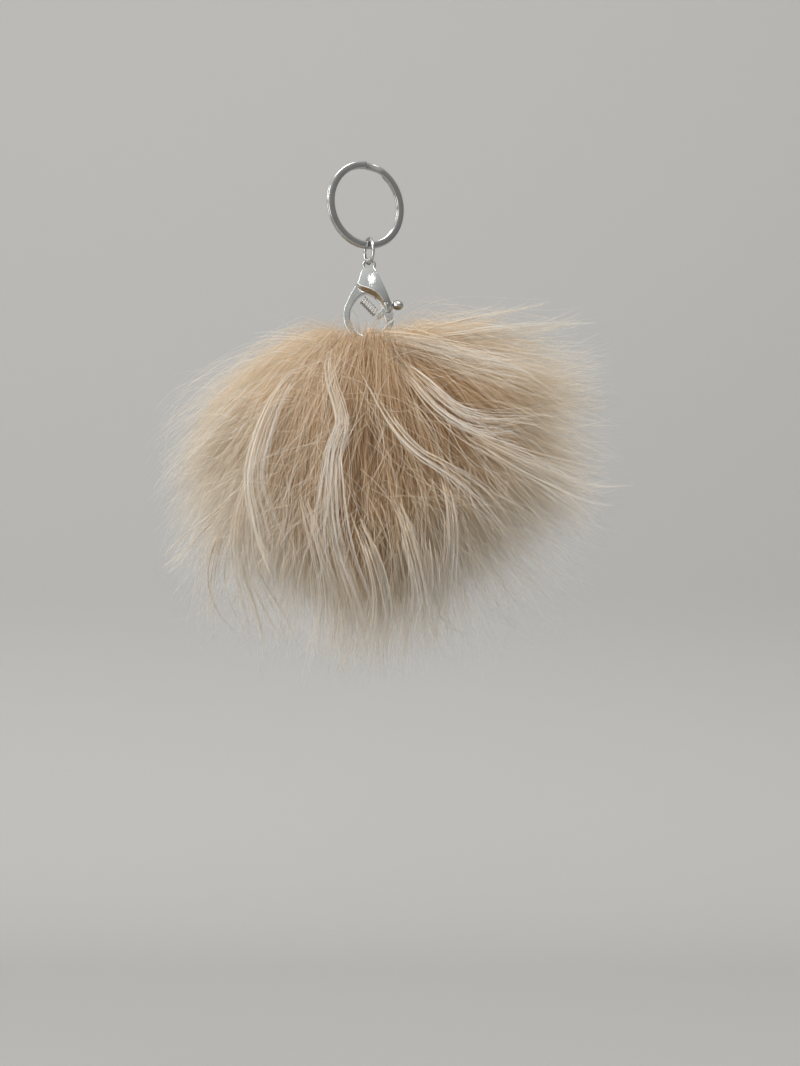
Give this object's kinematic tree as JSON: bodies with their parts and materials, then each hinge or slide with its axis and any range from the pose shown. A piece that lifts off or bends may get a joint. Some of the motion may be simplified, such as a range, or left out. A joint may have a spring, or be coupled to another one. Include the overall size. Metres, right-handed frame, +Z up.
{
  "type": "fur pom-pom keychain",
  "caption": "Long-haired fur pom-pom on an elastic loop, hooked to a lobster clasp that hangs by an oval link from a split key ring.",
  "frame": {"origin": "the inside top of the split ring, where a hook, peg or finger holds the keychain up", "axes": "+Z up along the hanging chain, front towards -Y, the clasp's lever towards +X"},
  "size_m": [0.128, 0.112, 0.1564],
  "materials": {
    "nickel_wire": "polished",
    "nickel_cast": "gloss",
    "spring_steel": "satin",
    "elastic": "matte",
    "thread": "matte",
    "button": "satin",
    "hide": "matte",
    "fibrefill": "matte",
    "fur": "matte"
  },
  "bodies": {
    "ring": {"split_ring": "nickel_wire"},
    "link": {"link_ring": "nickel_wire"},
    "clasp": {"clasp_body": "nickel_cast", "clasp_pin": "spring_steel", "lever_spring": "spring_steel"},
    "lever": {"clasp_lever": "nickel_cast"},
    "loop": {"loop_cord": "elastic", "loop_knot": "elastic", "anchor_button": "button"},
    "pom": {"hide_shell": "hide", "gather_thread": "thread", "fibrefill_core": "fibrefill", "fur_pile": "fur"}
  },
  "joints": [
    {"name": "link_swing", "type": "hinge", "parent": "ring", "child": "link", "pos_m": [0, 0, -0.02405], "axis": [0.8572, 0.515, 0], "range_deg": [-75, 75]},
    {"name": "clasp_swing", "type": "hinge", "parent": "link", "child": "clasp", "pos_m": [0, 0, -0.0299], "axis": [0.515, -0.8572, 0], "range_deg": [-55, 55]},
    {"name": "lever_press", "type": "hinge", "parent": "clasp", "child": "lever", "pos_m": [0.0052, 0, -0.04278], "axis": [0, 1, 0], "range_deg": [0, 32], "stiffness_Nm_per_rad": 0.02, "springref_deg": -17.19, "deforming": ["lever_spring"]},
    {"name": "loop_swing", "type": "hinge", "parent": "clasp", "child": "loop", "pos_m": [0, 0, -0.05432], "axis": [1, 0, 0], "range_deg": [-35, 35]},
    {"name": "pom_twist", "type": "hinge", "parent": "loop", "child": "pom", "pos_m": [0, 0, -0.05432], "axis": [0, 0, 1], "range_deg": [-150, 150]}
  ]
}
